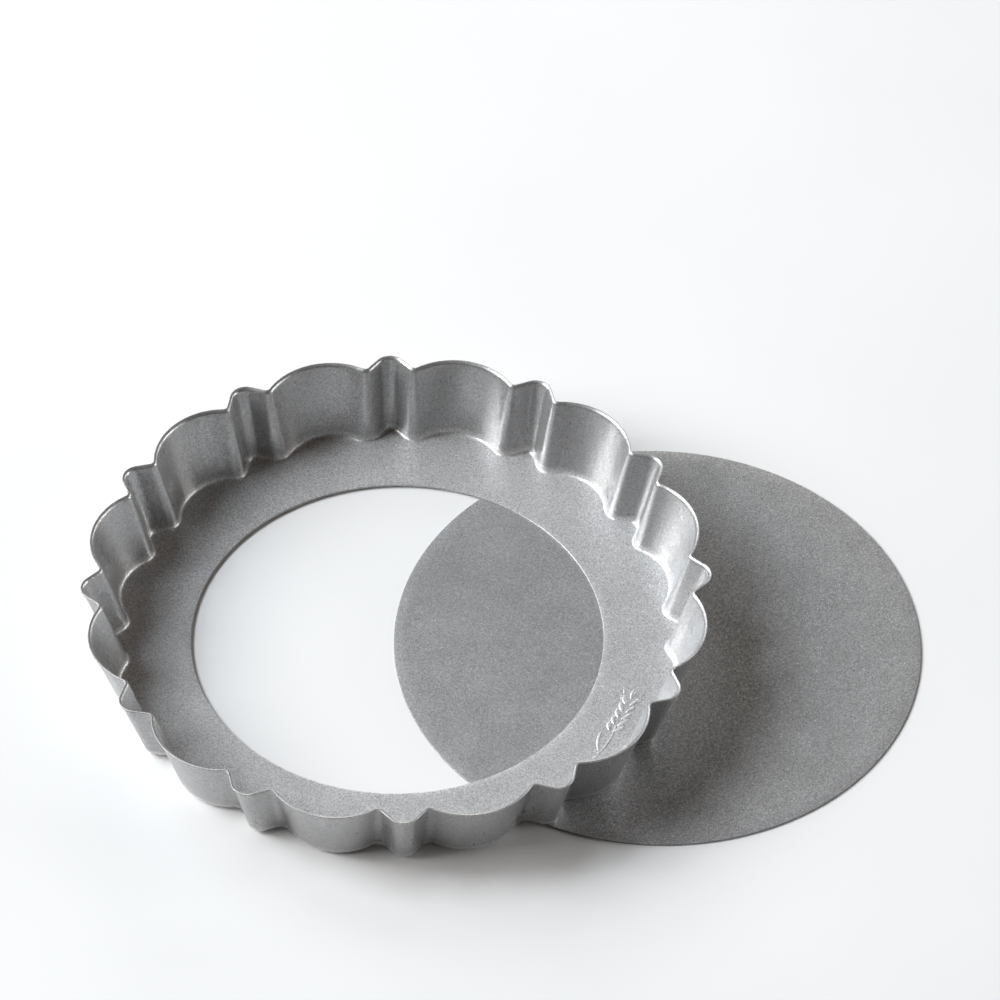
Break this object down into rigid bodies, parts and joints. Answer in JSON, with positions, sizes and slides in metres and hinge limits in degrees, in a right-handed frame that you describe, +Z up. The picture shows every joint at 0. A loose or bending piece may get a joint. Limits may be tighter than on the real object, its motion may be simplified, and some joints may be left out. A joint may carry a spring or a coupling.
{
  "type": "tart pan",
  "caption": "Fluted tart ring with flared wall, inward ledge and a round opening, laid partly over its loose round base plate.",
  "frame": {"origin": "centre of the round base plate's underside, which lies on the table", "axes": "+Z up from the table, +X to the right along the line from the ring towards the plate, +Y away from the viewer"},
  "size_m": [0.3741, 0.2798, 0.0383],
  "materials": {
    "plate_coating": "satin metallic-flake non-stick coating, silver grey",
    "ring_coating": "satin metallic-flake non-stick coating, silver grey"
  },
  "bodies": {
    "plate": {"base_plate": "plate_coating"},
    "ring": {"fluted_ring": "ring_coating"}
  },
  "joints": [
    {"name": "ring_lift", "type": "slide", "parent": "plate", "child": "ring", "axis": [0, 0, 1], "range_m": [0, 0.05]}
  ]
}
